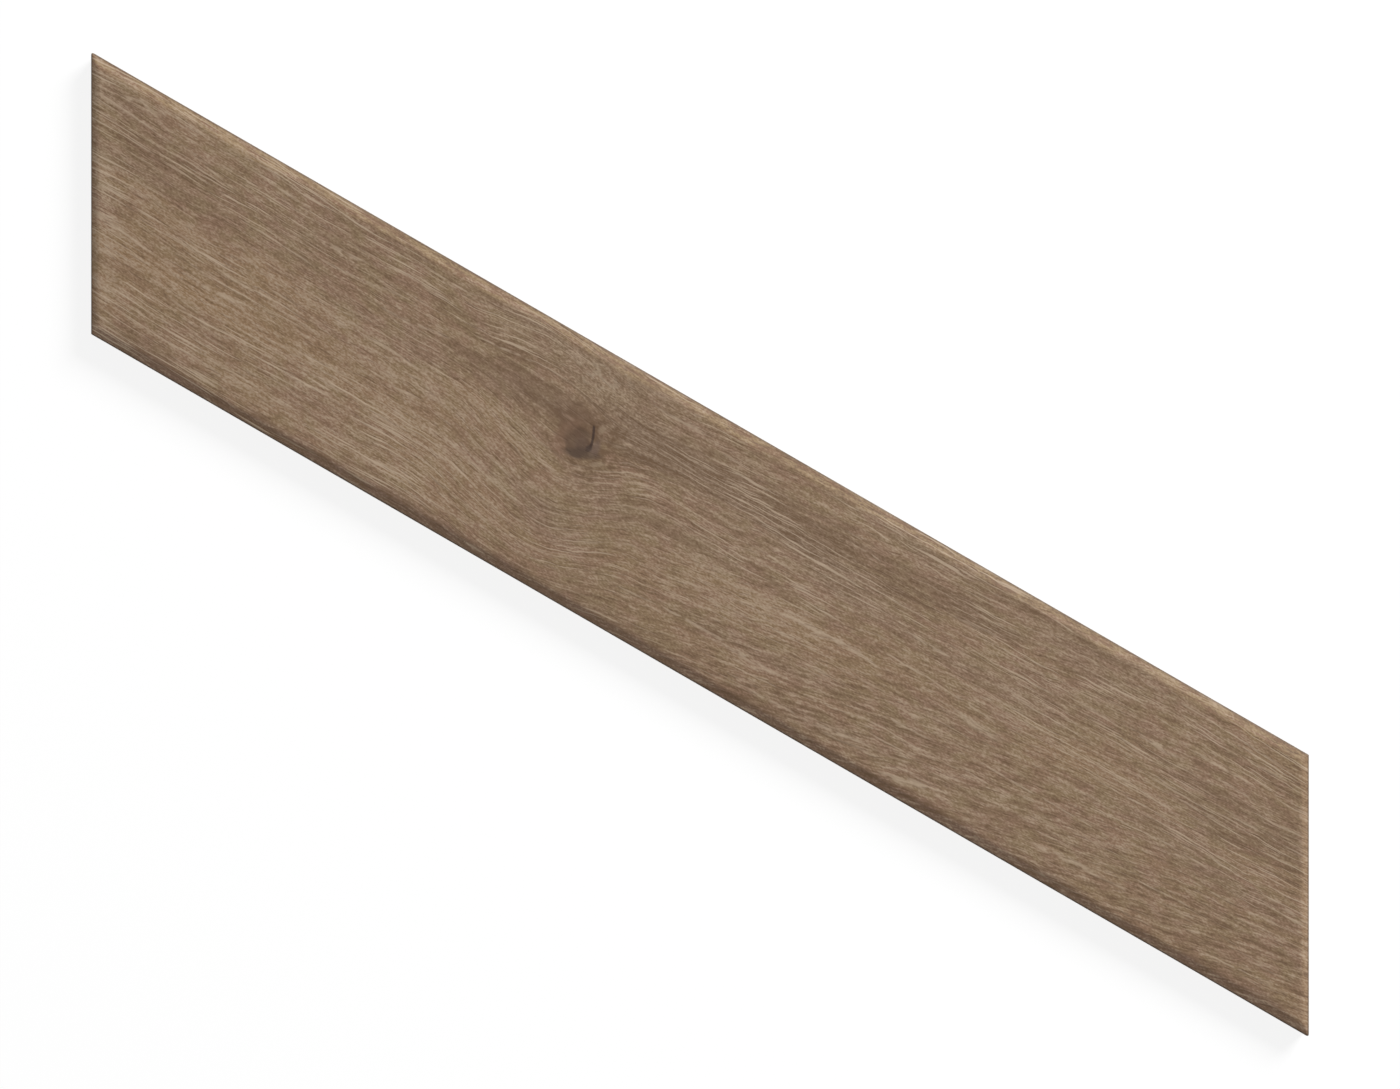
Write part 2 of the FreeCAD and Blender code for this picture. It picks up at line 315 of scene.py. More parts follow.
# The bare body: specks and clouds, with their cells in a metre, octaves and roughness, and upright drag lines
# on its walls. y counts double, which keeps the lines fine on the slanting ends
SPECKS_IN_A_METRE = 900.0
SPECK_NOISE = (2.0, 0.6)
SPECK_RUN = (0.6, 0.75, 0.0, 0.4)
CLOUDS_IN_A_METRE = 60.0
CLOUD_NOISE = (3.0, 0.5)
CLOUD_RUN = (0.3, 0.7)
DRAG_LINES = Grain(0.7, 14.0, 157.0, 2.0)
DRAG_RUN = (0.4, 0.75, 0.0, 0.25)
DRAG_Y_FACTOR = 2.0
# The wash on the ribs of the back, stronger in the clouds, and the overspray at the top, with its drips
WASH_HEIGHT = (0.35, 0.0)
WASH_RUN = (0.3, 0.65, 0.3, 0.8)
WIDE_DRIP = Wave(Grain(9.0, 40.0, 151.0, 2.0), 1.6)
FINE_DRIP = Wave(Grain(1.6, 5.0, 163.0, 2.0), 1.0)
OVERSPRAY_RUN = (6.3, 7.8, 0.0, 0.85)

# The surfaces: gloss, roughness and what noise adds to it, and fine relief in the shading, in metres, with
# the share of pores and drag lines in it
SPECULAR_LEVEL = 0.3
PRINT_ROUGHNESS = 0.55
MOTTLE_ROUGHNESS = 0.1
PORE_ROUGHNESS = 0.12
BODY_ROUGHNESS = 0.72
SPECK_ROUGHNESS = 0.15
PRINT_BUMP = 0.05 * MM
PORE_BUMP_SHARE = 0.5
BODY_BUMP = 0.08 * MM
DRAG_BUMP_SHARE = 0.5

# The floor: half its side, and its distance below the tile so that the two don't flicker, in metres
FLOOR_HALF_SIDE = 6.0
FLOOR_GAP = 0.00005
# Light that sets out this close to the floor, in metres, comes from the recesses of the tile's back
FLOOR_REACH = 0.0015
# What the floor shows: a glow with a little shadow to the camera, and plain white to scattered light
FLOOR_GLOW = 0.865
FLOOR_SHADOW_GREY = 0.15
FLOOR_WHITE = 0.8

# The photograph's width, the roll of its level line in the tile's frame, and the camera
PHOTO_WIDTH = 1400
ROLL = math.radians(30.0)
PIXELS_PER_MILLIMETRE = 3.06
LENS = 100.0
SENSOR_WIDTH = 36.0
FAR_CLIP = 20.0

# The lamps, in metres and radians, with their light on a level face, and the world's light
LAMP_DISTANCE = 4.0
LAMP_SIZE = 1.6
KEY_AZIMUTH = ROLL + math.radians(45.0)
KEY_ELEVATION = math.radians(32.0)
KEY_LIGHT = 0.75
BACK_AZIMUTH = ROLL - math.radians(100.0)
BACK_ELEVATION = math.radians(-40.0)
BACK_LIGHT = 0.5
WORLD_LIGHT = 0.25


def colour(red, green, blue):
    """A linear colour from the 0 to 255 values that a colour picker shows, by the sRGB curve."""
    def linear(value):
        share = value / 255.0
        return share / 12.92 if share <= 0.04045 else ((share + 0.055) / 1.055) ** 2.4
    return (linear(red), linear(green), linear(blue), 1.0)


def grey(level):
    """A linear grey."""
    return (level, level, level, 1.0)


# Colours of the print, with the painted highlight and shade of its bevels and lip
KHAKI = colour(129.2, 108.6, 81.7)
MAUVE = colour(132.2, 105.2, 85.1)
WARM_BROWN = colour(134.5, 108.5, 80.2)
COOL_BROWN = colour(128.6, 107.4, 87.8)
PALE_STREAK = colour(162.2, 141.1, 119.2)
DARK_STREAK = colour(101.8, 79, 57.8)
CREAM_COLOUR = colour(176, 156, 134)
PORE_COLOUR = colour(98, 75, 57)
# Painted highlight in tan on the far bevel, with the print's rust in it, and at the right end; painted shade
# on the near bevel and at the lip
FAR_EDGE_PAINTED_HIGHLIGHT = colour(141.5, 118.5, 87.5)
FAR_EDGE_RUST = colour(122, 93, 70)
END_PAINTED_HIGHLIGHT = colour(140, 114.5, 88)
NEAR_EDGE_PAINTED_SHADE = colour(115, 91, 77)
LIP_PAINTED_SHADE = colour(82, 66, 52)

# Colours of the bare body
BODY_DARK = colour(163, 147, 129)
BODY_PALE = colour(175, 159, 141)
DRAG_COLOUR = colour(137, 121, 103)
SPECK_COLOUR = colour(120, 104, 86)
WASH_COLOUR = colour(196, 190, 180)
OVERSPRAY_COLOUR = colour(98, 79, 62)

# What is laid over the print at the knot, in this order: what lies round the heart, the heart itself, and
# what lies on it. Each layer has its mask, its strength and its colour
LAYERS_ROUND_HEART = (
    ("burr", 0.3, colour(136, 115, 93)),
    ("chips", 0.4, colour(162, 145, 124)),
    ("stain", 0.25, colour(110, 88, 70)),
    ("halo", 0.6, colour(96, 73, 55)),
    ("red_side", 0.45, colour(118, 90, 72)),
    ("pale_dash", 0.5, colour(146, 121, 101)),
    ("pale_spots", 0.4, colour(158, 139, 116)),
    ("lobe", 0.5, colour(80, 62, 51)),
)
HEART_SHARE = 0.9
HEART_MOTTLE = (0.35, 0.65)
HEART_DARK = colour(87, 66, 50)
HEART_PALE = colour(95, 75, 58)
LAYERS_ON_HEART = (
    ("core", 0.35, colour(79, 61, 52)),
    ("shade", 0.8, colour(70, 54, 42)),
    ("crescent", 0.7, colour(101, 82, 72)),
    ("crack_foot", 0.75, colour(54, 40, 32)),
    ("crack", 0.9, colour(52, 36, 28)),
)


# Geometry of the tile

def bevel_height(distance, bevel_width):
    """Height of the tile's top at a distance from a side wall: lip arc, bevel, brow arc and level face."""
    slope = math.atan2(BEVEL_DROP, bevel_width)
    lip_end = LIP_RADIUS * (1.0 - math.sin(slope))
    lip_tangent = LIP_RADIUS * math.tan((math.pi / 2 - slope) / 2)
    lip_centre_height = THICKNESS - BEVEL_DROP - lip_tangent
    brow_tangent = BROW_RADIUS * math.tan(slope / 2)
    brow_start = bevel_width - brow_tangent * math.cos(slope)
    brow_end = bevel_width + brow_tangent
    on_lip = np.sqrt(np.maximum(LIP_RADIUS ** 2 - (LIP_RADIUS - distance) ** 2, 0.0))
    on_brow = np.sqrt(np.maximum(BROW_RADIUS ** 2 - (brow_end - distance) ** 2, 0.0))
    height = THICKNESS - BEVEL_DROP + distance * math.tan(slope)
    height = np.where(distance < lip_end, lip_centre_height + on_lip, height)
    height = np.where(distance > brow_start, THICKNESS - BROW_RADIUS + on_brow, height)
    return np.where(distance > brow_end, THICKNESS, height)


def top_height(x, y):
    """Height of the pressed face, whose bevels meet in mitres."""
    side_distance = TILE_WIDTH / 2 - np.abs(y)
    end_distance = (LONG_EDGE / 2 - np.abs(x + y * LEAN)) * math.sin(CHEVRON_ANGLE)
    side_height = bevel_height(np.maximum(side_distance, 0.0), SIDE_BEVEL_WIDTH)
    end_height = bevel_height(np.maximum(end_distance, 0.0), END_BEVEL_WIDTH)
    return np.minimum(side_height, end_height)


def grid_lines(half_length, edge_lines, step):
    """Positions from -half_length to half_length: the given distances from both edges, even steps between."""
    inner = half_length - edge_lines[-1]
    count = round(2 * inner / step)
    middle = np.linspace(-inner, inner, count + 1)
    edge = half_length - np.array(edge_lines[:-1])
    return np.concatenate([-edge, middle, edge[::-1]])


def round_upright_corners(x, y):
    """Draws the points near the four corners in, so that the outline has its small corner radius."""
    slant = np.array([-math.cos(CHEVRON_ANGLE), math.sin(CHEVRON_ANGLE)])
    along = np.array([1.0, 0.0])
    end_length = TILE_WIDTH / math.sin(CHEVRON_ANGLE)
    points = np.stack([x, y], axis=-1)
    for side_x in (-1.0, 1.0):
        for side_y in (-1.0, 1.0):
            corner = side_x * along * LONG_EDGE / 2 + side_y * slant * end_length / 2
            first = -side_x * along
            second = -side_y * slant
            half_angle = math.acos(float(first @ second)) / 2
            inwards = (first + second) / np.linalg.norm(first + second)
            centre = corner + inwards * CORNER_RADIUS / math.sin(half_angle)
            offset = points - centre
            beyond = (offset @ first < 0) & (offset @ second < 0)
            reach = np.maximum(np.linalg.norm(offset, axis=-1), SMALLEST_REACH)
            first_normal = np.array([0.0, side_y])
            second_normal = side_x * np.array([math.sin(CHEVRON_ANGLE), math.cos(CHEVRON_ANGLE)])
            share = np.maximum(offset @ first_normal, offset @ second_normal) / reach
            points = np.where(beyond[..., None], centre + offset * share[..., None], points)
    return points[..., 0], points[..., 1]


def face_points():
    """The face's grid of points, as rows from the near long edge to the far one."""
    across = grid_lines(TILE_WIDTH / 2, EDGE_LINES_ACROSS, STEP_ACROSS)
    end_lines = [line / math.sin(CHEVRON_ANGLE) for line in EDGE_LINES_ALONG]
    along = grid_lines(LONG_EDGE / 2, end_lines, STEP_ALONG)
    u, y = np.meshgrid(along, across)
    x, y = round_upright_corners(u - y * LEAN, y)
    return np.stack([x, y, top_height(x, y)], axis=-1)


def outline_indices(rows, columns):
    """Indices of a grid's border points, counter-clockwise seen from above."""
    grid = np.arange(rows * columns).reshape(rows, columns)
    return np.concatenate([grid[0, :-1], grid[:-1, -1], grid[-1, :0:-1], grid[:0:-1, 0]])


def walls_and_back(node):
    """The CAD mesh below the cut through its walls: points in millimetres, faces, and the open border."""
    mesh = bmesh.new()
    mesh.from_mesh(node.data)
    bmesh.ops.scale(mesh, vec=(1 / MM, 1 / MM, 1 / MM), verts=mesh.verts)
    bmesh.ops.remove_doubles(mesh, verts=mesh.verts, dist=MERGE_DISTANCE)
    bmesh.ops.bisect_plane(
        mesh,
        geom=mesh.verts[:] + mesh.edges[:] + mesh.faces[:],
        dist=CUT_TOLERANCE,
        plane_co=(0, 0, WALL_JOIN_HEIGHT),
        plane_no=(0, 0, 1),
        clear_outer=True,
    )
    mesh.verts.index_update()
    points = np.array([vertex.co[:] for vertex in mesh.verts])
    faces = [[vertex.index for vertex in face.verts] for face in mesh.faces]
    open_edges = [edge for edge in mesh.edges if edge.is_boundary]
    border = sorted({vertex.index for edge in open_edges for vertex in edge.verts})
    mesh.free()
    return points, faces, border


def turn_order(indices, points):
    """The indices sorted by the direction of their points from the tile's middle, with those directions."""
    indices = np.array(indices)
    turn = np.arctan2(points[indices, 1], points[indices, 0])
    order = np.argsort(turn)
    return indices[order], turn[order]


def wall_strip(points, upper, lower):
    """Triangles that join two closed borders that run round the tile at different heights."""
    upper, upper_turn = turn_order(upper, points)
    lower, lower_turn = turn_order(lower, points)
    upper_turn = np.append(upper_turn, upper_turn[0] + 2 * math.pi)
    lower_turn = np.append(lower_turn, lower_turn[0] + 2 * math.pi)
    triangles = []
    i = 0
    j = 0
    while i < len(upper) or j < len(lower):
        here_up = int(upper[i % len(upper)])
        here_down = int(lower[j % len(lower)])
        step_up = j == len(lower) or (i < len(upper) and upper_turn[i + 1] <= lower_turn[j + 1])
        if step_up:
            triangles.append([here_up, here_down, int(upper[(i + 1) % len(upper)])])
            i += 1
        else:
            triangles.append([here_up, here_down, int(lower[(j + 1) % len(lower)])])
            j += 1
    return triangles


def tile_mesh(node):
    """The whole tile as one closed mesh: material 0 on the face, material 1 on the walls and the back."""
    face = face_points()
    rows, columns = face.shape[:2]
    back_points, back_faces, back_border = walls_and_back(node)
    face_count = rows * columns
    points = np.concatenate([face.reshape(-1, 3), back_points])

    grid = np.arange(face_count).reshape(rows, columns)
    quads = np.stack([grid[:-1, :-1], grid[:-1, 1:], grid[1:, 1:], grid[1:, :-1]], axis=-1).reshape(-1, 4)
    border = outline_indices(rows, columns)
    strip = wall_strip(points, border, [face_count + index for index in back_border])
    back = [[face_count + index for index in polygon] for polygon in back_faces]

    mesh = bpy.data.meshes.new("wood_grain_tile")
    mesh.from_pydata((points * MM).tolist(), [], quads.tolist() + strip + back)
    materials = np.ones(len(quads) + len(strip) + len(back), dtype=np.int32)
    materials[:len(quads)] = 0
    mesh.polygons.foreach_set("material_index", materials)
    mesh.update()
    return mesh


def finish_normals(mesh):
    """Smooth shading that breaks at the tile's true edges, with every face turned outwards."""
    shaped = bmesh.new()
    shaped.from_mesh(mesh)
    bmesh.ops.recalc_face_normals(shaped, faces=shaped.faces)
    for face in shaped.faces:
        face.smooth = True
    for edge in shaped.edges:
        edge.smooth = edge.is_manifold and edge.calc_face_angle(0.0) < SHARP_ANGLE
    shaped.to_mesh(mesh)
    shaped.free()
    mesh.update()


# Nodes

class Nodes:
    """Adds nodes to a tree, for the material and for Geometry Nodes alike."""

    # The mix node's sockets for colours
    MIX_SHARE = 0
    MIX_FIRST = 6
    MIX_SECOND = 7
    MIX_RESULT = 2
    # How far the cut through a noise rises with each cell along and across it, and how far a seed shifts it
    CUT_RISE_ALONG = 0.4
    CUT_RISE_ACROSS = 0.5
    SEED_SHIFT = 0.37

    def __init__(self, tree):
        self.tree = tree

    def feed(self, socket, value):
        if isinstance(value, bpy.types.NodeSocket):
            self.tree.links.new(value, socket)
        else:
            socket.default_value = value

    def math(self, operation, *values):
        node = self.tree.nodes.new("ShaderNodeMath")
        node.operation = operation
        for socket, value in zip(node.inputs, values):
            self.feed(socket, value)
        return node.outputs[0]

    def add(self, first, *others):
        for other in others:
            first = self.math("ADD", first, other)
        return first

    def subtract(self, first, second):
        return self.math("SUBTRACT", first, second)

    def multiply(self, first, *others):
        for other in others:
            first = self.math("MULTIPLY", first, other)
        return first

    def divide(self, first, second):
        return self.math("DIVIDE", first, second)

    def invert(self, value):
        return self.subtract(1.0, value)

    def signed(self, value, size):
        """A noise value moved to lie about zero and scaled."""
        return self.multiply(self.subtract(value, 0.5), size)

    def distance(self, x, y):
        return self.math("SQRT", self.add(self.multiply(x, x), self.multiply(y, y)))

    def point(self, x, y, z=0.0):
        node = self.tree.nodes.new("ShaderNodeCombineXYZ")
        for socket, value in zip(node.inputs, (x, y, z)):
            self.feed(socket, value)
        return node.outputs[0]

    def parts(self, vector):
        node = self.tree.nodes.new("ShaderNodeSeparateXYZ")
        self.feed(node.inputs[0], vector)
        return node.outputs[0], node.outputs[1], node.outputs[2]

    def scaled(self, vector, factor):
        node = self.tree.nodes.new("ShaderNodeVectorMath")
        node.operation = "SCALE"
        self.feed(node.inputs[0], vector)
        self.feed(node.inputs["Scale"], factor)
        return node.outputs[0]

    def noise(self, point, detail, roughness=0.5):
        """Soft noise from 0 to 1, about 0.5 on average, with cells one unit wide."""
        node = self.tree.nodes.new("ShaderNodeTexNoise")
        node.noise_dimensions = "3D"
        self.feed(node.inputs["Vector"], point)
        self.feed(node.inputs["Scale"], 1.0)
        self.feed(node.inputs["Detail"], detail)
        self.feed(node.inputs["Roughness"], roughness)
        return node.outputs[0]

    def grain(self, x, y, grain):
        """Noise in long cells. Its cut through space slants, which hides the lattice of the noise."""
        x = self.divide(x, grain.length)
        y = self.divide(y, grain.width)
        rise = self.multiply(x, self.CUT_RISE_ALONG)
        z = self.add(grain.seed, rise, self.multiply(y, self.CUT_RISE_ACROSS))
        return self.noise(self.point(self.add(x, grain.seed * self.SEED_SHIFT), y, z), grain.detail)

    def wave(self, x, y, wave):
        """A shift to and fro."""
        return self.signed(self.grain(x, y, wave.grain), wave.size)

    def cut(self, x, y, cut):
        """Flecks of noise: 1 in a fleck and 0 between them."""
        return self.ease(self.grain(x, y, cut.grain), cut.low, cut.high)

    def ease(self, value, low, high, to_low=0.0, to_high=1.0):
        """A smooth step from to_low, where the value is low, to to_high, where it is high."""
        node = self.tree.nodes.new("ShaderNodeMapRange")
        node.interpolation_type = "SMOOTHSTEP"
        self.feed(node.inputs["Value"], value)
        self.feed(node.inputs["From Min"], low)
        self.feed(node.inputs["From Max"], high)
        self.feed(node.inputs["To Min"], to_low)
        self.feed(node.inputs["To Max"], to_high)
        return node.outputs[0]

    def ramp(self, value, full):
        """A straight step from 0, where the value is 0, to 1, where it is full."""
        node = self.tree.nodes.new("ShaderNodeMapRange")
        self.feed(node.inputs["Value"], value)
        self.feed(node.inputs["From Min"], 0.0)
        self.feed(node.inputs["From Max"], full)
        return node.outputs[0]

    def mix(self, share, first, second):
        """A colour between first and second."""
        node = self.tree.nodes.new("ShaderNodeMix")
        node.data_type = "RGBA"
        self.feed(node.inputs[self.MIX_SHARE], share)
        self.feed(node.inputs[self.MIX_FIRST], first)
        self.feed(node.inputs[self.MIX_SECOND], second)
        return node.outputs[self.MIX_RESULT]


def signed_sum(nodes, fields, sizes):
    """The sum of several noise fields, each moved to lie about zero and scaled to its size."""
    return nodes.add(*[nodes.signed(fields[name], size) for name, size in sizes.items()])


def edge_distances(nodes, x, y):
    """Distances from the far long edge, the near long edge, the left end and the right end."""
    slanted = nodes.add(x, nodes.multiply(y, LEAN))
    to_end = math.sin(CHEVRON_ANGLE)
    return {
        "far": nodes.subtract(TILE_WIDTH / 2, y),
        "near": nodes.add(TILE_WIDTH / 2, y),
        "left": nodes.multiply(nodes.add(LONG_EDGE / 2, slanted), to_end),
        "right": nodes.multiply(nodes.subtract(LONG_EDGE / 2, slanted), to_end),
    }


def nearest_edge(nodes, edges):
    """Distance from the nearest of the four edges."""
    long_edge = nodes.math("MINIMUM", edges["far"], edges["near"])
    end = nodes.math("MINIMUM", edges["left"], edges["right"])
    return nodes.math("MINIMUM", long_edge, end)


def from_knot(nodes, x, y):
    """The coordinates of a point from the knot's middle."""
    return nodes.subtract(x, KNOT_X), nodes.subtract(y, KNOT_Y)


def oval_reach(nodes, x, y, oval):
    """Distance from an oval's middle, where 1 is the oval's edge."""
    from_x = nodes.subtract(x, oval.x)
    from_y = nodes.subtract(nodes.subtract(y, oval.y), nodes.multiply(from_x, oval.slope))
    return nodes.distance(nodes.divide(from_x, oval.half_length), nodes.divide(from_y, oval.half_width))


def inside_oval(nodes, x, y, oval, wobble):
    """1 in an oval and 0 outside it, with an edge that wobbles."""
    return nodes.ease(nodes.add(oval_reach(nodes, x, y, oval), wobble), oval.outer, oval.inner)


def knot_bend(nodes, x, y):
    """How far the grain is pushed away from its level by the knot: down below it and up above it."""
    across, up = from_knot(nodes, x, y)
    below = nodes.multiply(nodes.ease(up, *BEND_TOP), nodes.ease(up, *BEND_BOTTOM))
    fall = nodes.multiply(nodes.ease(across, *FALL_RUN), KNOT_FALL)
    climb = nodes.multiply(nodes.ease(across, *CLIMB_RUN), KNOT_CLIMB)
    arch_across = nodes.add(across, nodes.subtract(up, ARCH_LEVEL))
    arch = nodes.multiply(
        nodes.ease(arch_across, *ARCH_LEFT),
        nodes.ease(arch_across, *ARCH_RIGHT),
        nodes.ease(up, *ARCH_BOTTOM),
        nodes.ease(up, *ARCH_TOP),
        ARCH_HEIGHT,
    )
    return nodes.add(nodes.multiply(nodes.subtract(climb, fall), below), arch)


def grain_lines(nodes, x, y):
    """Coordinates across the grain: for the long lines, which bend round the knot, and the short strokes."""
    right_part = nodes.math("SMOOTH_MAX", nodes.subtract(x, RIGHT_PART_START), 0.0, RIGHT_PART_BLEND)
    past_pivot = nodes.subtract(right_part, RISE_PIVOT)
    near_rise = nodes.multiply(past_pivot, nodes.ease(y, *NEAR_RISE_RUN), NEAR_RISE)
    bend = nodes.add(knot_bend(nodes, x, y), near_rise)
    shiver = nodes.multiply(nodes.wave(x, y, SHIVER), nodes.ease(x, *SHIVER_RUN))
    wavering = nodes.add(y, nodes.wave(x, y, DRIFT), nodes.wave(x, y, RIPPLE), shiver)
    lines = nodes.subtract(wavering, bend)
    strokes = nodes.subtract(lines, nodes.multiply(right_part, STROKE_RISE))
    return lines, strokes


def turned(nodes, x, y, angle):
    """Coordinates along and across a direction that rises to the right by the angle."""
    cosine = math.cos(angle)
    sine = math.sin(angle)
    along = nodes.add(nodes.multiply(x, cosine), nodes.multiply(y, sine))
    across = nodes.subtract(nodes.multiply(y, cosine), nodes.multiply(x, sine))
    return along, across


def thread_field(nodes, x, lines):
    """Thin lines along the grain, broken into short runs."""
    bands = nodes.add(nodes.divide(lines, THREAD_BAND), nodes.wave(x, lines, THREAD_DRIFT))
    from_middle = nodes.math("ABSOLUTE", nodes.subtract(nodes.math("FRACT", bands), 0.5))
    runs = nodes.multiply(nodes.cut(x, lines, THREAD_RUNS), nodes.cut(x, lines, THREAD_BREAKS))
    return nodes.multiply(nodes.ease(from_middle, *THREAD_SIDE), runs)


def grain_fields(nodes, position):
    """Everything that the print and the relief share, from a point in metres."""
    x, y, z = nodes.parts(nodes.scaled(position, 1 / MM))
    lines, strokes = grain_lines(nodes, x, y)
    fields = {"x": x, "y": y, "z": z}
    for across, grains in ((lines, LINE_GRAINS), (strokes, STROKE_GRAINS), (y, LEVEL_GRAINS)):
        for name, grain in grains.items():
            fields[name] = nodes.grain(x, across, grain)
    feather_place = nodes.multiply(nodes.ease(x, *FEATHER_START), nodes.ease(y, *FEATHER_TO_NEAR))
    cream_share = nodes.invert(nodes.multiply(feather_place, CREAM_LOSS))
    fields["feather"] = nodes.grain(*turned(nodes, x, y, FEATHER_RISE), FEATHER)
    fields["feather_place"] = feather_place
    fields["threads"] = thread_field(nodes, x, lines)
    fields["cream"] = nodes.multiply(nodes.cut(x, lines, CREAM), nodes.cut(x, y, CREAM_PLACE), cream_share)
    fields["pores"] = nodes.cut(x, strokes, PORES)
    fields["chips"] = nodes.cut(x, y, CHIPS)
    return fields


def crack_field(nodes, across, up, wobble):
    """The knot's crack: a thin upright line whose upper part leans to the left."""
    above = nodes.subtract(up, CRACK_Y)
    lean = nodes.multiply(nodes.math("SMOOTH_MAX", above, 0.0, CRACK_BEND), CRACK_LEAN)
    beside = nodes.add(nodes.subtract(across, CRACK_X), lean, nodes.multiply(wobble, CRACK_WOBBLE))
    ends = nodes.multiply(nodes.ease(above, *CRACK_TOP), nodes.ease(above, *CRACK_BOTTOM))
    return nodes.multiply(nodes.ease(nodes.math("ABSOLUTE", beside), *CRACK_SIDE), ends)


def knot_fields(nodes, fields):
    """Masks from 0 to 1 for the knot: its disc, heart, crack and spots, and the wider areas round it."""
    across, up = from_knot(nodes, fields["x"], fields["y"])
    wobble = nodes.wave(fields["x"], fields["y"], KNOT_WOBBLE)
    wide_wobble = nodes.multiply(wobble, AREA_WOBBLE)
    knot = {name: inside_oval(nodes, across, up, oval, wobble) for name, oval in KNOT_SPOTS.items()}
    for name, oval in KNOT_AREAS.items():
        knot[name] = inside_oval(nodes, across, up, oval, wide_wobble)

    disc_edge = nodes.add(oval_reach(nodes, across, up, KNOT_DISC), wobble)
    left_side = nodes.multiply(nodes.ease(across, *LEFT_SIDE), nodes.ease(up, *LEFT_SIDE_BOTTOM))
    lower_left = nodes.ease(nodes.add(across, up), *LOWER_LEFT)
    knot["disc"] = nodes.ease(disc_edge, KNOT_DISC.outer, KNOT_DISC.inner)
    knot["heart"] = nodes.ease(
        nodes.add(disc_edge, nodes.multiply(lower_left, HEART_TRIM)),
        nodes.add(HEART_OUTER, nodes.multiply(left_side, SOFTER_OUTSIDE)),
        nodes.subtract(HEART_INNER, nodes.multiply(left_side, SOFTER_INSIDE)),
    )
    knot["red_side"] = nodes.multiply(nodes.ease(disc_edge, *RED_SIDE_EDGE), nodes.ease(across, *RED_SIDE))
    knot["crack"] = crack_field(nodes, across, up, wobble)
    knot["shade"] = nodes.multiply(knot["shade"], nodes.ease(up, *SHADE_BOTTOM))
    knot["pale_spots"] = nodes.math("MAXIMUM", knot["upper_pale_spot"], knot["lower_pale_spot"])
    knot["chips"] = nodes.multiply(knot["chips"], fields["chips"])
    return knot


def relief_field(nodes, fields, knot, edges):
    """Depth of the pressed grain below the smooth face, in millimetres, fading out towards the lip."""
    lines = nodes.multiply(nodes.invert(fields["bars"]), GRAIN_DEPTH)
    strokes = nodes.multiply(nodes.invert(fields["dashes"]), GRAIN_DEPTH)
    feather = nodes.multiply(nodes.invert(fields["feather"]), fields["feather_place"], GRAIN_DEPTH)
    dish = nodes.multiply(knot["disc"], DISH_DEPTH)
    crack = nodes.multiply(knot["crack"], CRACK_DEPTH)
    depth = nodes.add(lines, strokes, feather, dish, crack)
    return nodes.multiply(depth, nodes.ease(nearest_edge(nodes, edges), *RELIEF_FADE))


# Materials

def broad_tone(nodes, fields):
    """How much lighter or darker the print is from place to place, in colour levels."""
    wavering = nodes.add(fields["y"], nodes.signed(fields["clouds"], FAR_SIDE_WAVER))
    far_side = nodes.ease(wavering, *FAR_SIDE_RUN)
    tone = nodes.add(nodes.signed(fields["zones"], ZONE_LEVEL), nodes.multiply(far_side, FAR_SIDE_LEVEL))
    fray = signed_sum(nodes, fields, PATCH_FRAY)
    for patch in TONE_PATCHES.values():
        reach = nodes.add(oval_reach(nodes, fields["x"], fields["y"], patch), fray)
        tone = nodes.add(tone, nodes.multiply(nodes.ease(reach, *PATCH_EDGE), patch.level))
    return tone


def ground_colour(nodes, fields, tone):
    """The print's ground: khaki or mauve in patches, warmer where it is pale and cooler where it is dark."""
    x = fields["x"]
    y = fields["y"]
    ground = nodes.mix(nodes.ease(signed_sum(nodes, fields, TINT_LEVELS), *TINT_RUN), KHAKI, MAUVE)
    warmth = nodes.add(
        nodes.wave(x, y, WARMTH),
        nodes.multiply(tone, WARMTH_OF_TONE),
        nodes.ease(x, *WARMER_RIGHT),
        nodes.multiply(nodes.ease(y, *WARMER_NEAR), nodes.ease(x, *WARMER_NEAR_LEFT)),
        WARMTH_OFFSET,
    )
    ground = nodes.mix(nodes.ramp(warmth, 1.0), ground, WARM_BROWN)
    return nodes.mix(nodes.ramp(warmth, -1.0), ground, COOL_BROWN)


def bevel_print_and_painted_light(nodes, fields, edges, printed):
    """The ground over the bevels, with painted highlight in tan at the right end and on the far one, where
    the print's rust lies in it, and painted shade in dark brown on the near one.
    """
    waver = nodes.wave(fields["x"], fields["y"], EDGE_WAVER)
    # Painted highlight on the far bevel, with the print's rust flecks in it
    far_highlight_band = nodes.multiply(nodes.ease(nodes.add(edges["far"], waver), *FAR_HIGHLIGHT_BAND), LIT_EDGE_SHARE)
    # Painted highlight on the right end's bevel
    end_highlight_band = nodes.multiply(nodes.ease(edges["right"], *END_HIGHLIGHT_BAND), LIT_EDGE_SHARE)
    # Painted shade on the near bevel
    near_shade_band = nodes.multiply(nodes.ease(nodes.add(edges["near"], waver), *NEAR_SHADE_BAND), NEAR_SHADE_SHARE)
    far_highlight_and_rust = nodes.mix(nodes.cut(fields["x"], fields["y"], RUST), FAR_EDGE_PAINTED_HIGHLIGHT, FAR_EDGE_RUST)
    printed = nodes.mix(far_highlight_band, printed, far_highlight_and_rust)
    printed = nodes.mix(end_highlight_band, printed, END_PAINTED_HIGHLIGHT)
    return nodes.mix(near_shade_band, printed, NEAR_EDGE_PAINTED_SHADE)


def painted_rim_light_and_shade(nodes, edges):
    """Painted light and shade just inside the edges: how much lighter or darker the face is there, in colour
    levels.
    """
    light = nodes.multiply(nodes.ease(edges["near"], *NEAR_RIM_SHADE_END), NEAR_RIM_SHADE_LEVEL)
    for edge, (begin, end, level) in (("left", LEFT_RIM_PAINTED_LIGHT), ("right", RIGHT_RIM_PAINTED_SHADE)):
        rim = nodes.multiply(nodes.ease(edges[edge], *begin), nodes.ease(edges[edge], *end), level)
        light = nodes.add(light, rim)
    return light


